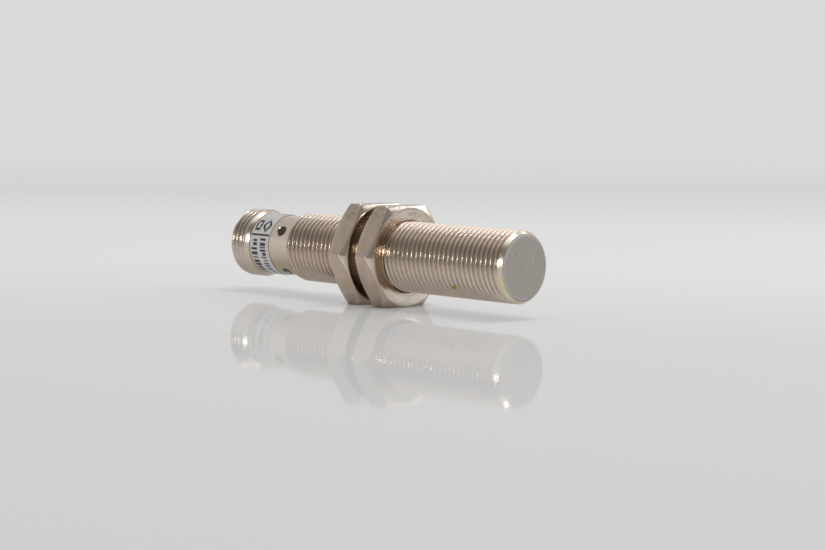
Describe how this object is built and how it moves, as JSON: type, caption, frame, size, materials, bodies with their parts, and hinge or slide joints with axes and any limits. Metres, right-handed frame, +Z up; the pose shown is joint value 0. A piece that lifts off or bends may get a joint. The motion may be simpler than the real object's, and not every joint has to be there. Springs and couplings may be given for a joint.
{
  "type": "proximity sensor",
  "caption": "Cylindrical inductive proximity sensor in a threaded metal tube, with a plastic sensing face, indicator windows, a plug connector end and two hexagon lock nuts.",
  "frame": {"origin": "centre of the sensing face", "axes": "+X along the barrel's axis, out of the sensing face; +Z up, square to the nuts' upper and lower flats; +Y completes the frame"},
  "size_m": [0.0635, 0.0196, 0.017],
  "materials": {
    "nickel_brass": "nickel-plated, satin turned",
    "face_plastic": "fine matte grey moulding",
    "label_foil": "satin silver-grey printed foil",
    "smoked_resin": "translucent dark brown",
    "black_plastic": "fine-grained black moulding",
    "gold_contact": "gold-plated, polished",
    "seal_rubber": "matt black",
    "ferrite": "sintered, matt dark grey",
    "bobbin_plastic": "natural moulding",
    "copper_wire": "enamelled copper",
    "tinned_metal": "bright tinned sheet",
    "potting_resin": "cast resin",
    "board_laminate": "green solder resist",
    "chip_package": "moulded black",
    "chip_ceramic": "tan ceramic with tinned ends",
    "lamp_lens": "clear yellow"
  },
  "bodies": {
    "barrel_assembly": {"barrel": "nickel_brass", "sensing_cap": "face_plastic", "label": "label_foil", "light_guide": "smoked_resin", "contact_insert": "black_plastic", "contact_pin_1": "gold_contact", "contact_pin_2": "gold_contact", "contact_pin_3": "gold_contact", "contact_pin_4": "gold_contact", "cap_gasket": "seal_rubber", "insert_seal": "seal_rubber", "ferrite_core": "ferrite", "coil_bobbin": "bobbin_plastic", "coil_winding": "copper_wire", "coil_lead_start": "copper_wire", "coil_lead_end": "copper_wire", "screening_ring": "tinned_metal", "front_potting": "potting_resin", "circuit_board": "board_laminate", "oscillator_ic": "chip_package", "voltage_regulator": "chip_package", "output_transistor": "chip_package", "protection_diode": "chip_package", "resistor_1": "chip_package", "resistor_2": "chip_package", "resistor_3": "chip_package", "resistor_4": "chip_package", "timing_capacitor": "chip_ceramic", "filter_capacitor": "chip_ceramic", "status_led_top": "lamp_lens", "status_led_bottom": "lamp_lens"},
    "front_nut": {"front_nut": "nickel_brass"},
    "rear_nut": {"rear_nut": "nickel_brass"}
  },
  "joints": [
    {"name": "front_nut_travel", "type": "slide", "parent": "barrel_assembly", "child": "front_nut", "axis": [1, 0, 0], "range_m": [-0.0009, 0.0244]},
    {"name": "rear_nut_travel", "type": "slide", "parent": "barrel_assembly", "child": "rear_nut", "axis": [1, 0, 0], "range_m": [-0.0135, 0.0009]}
  ]
}
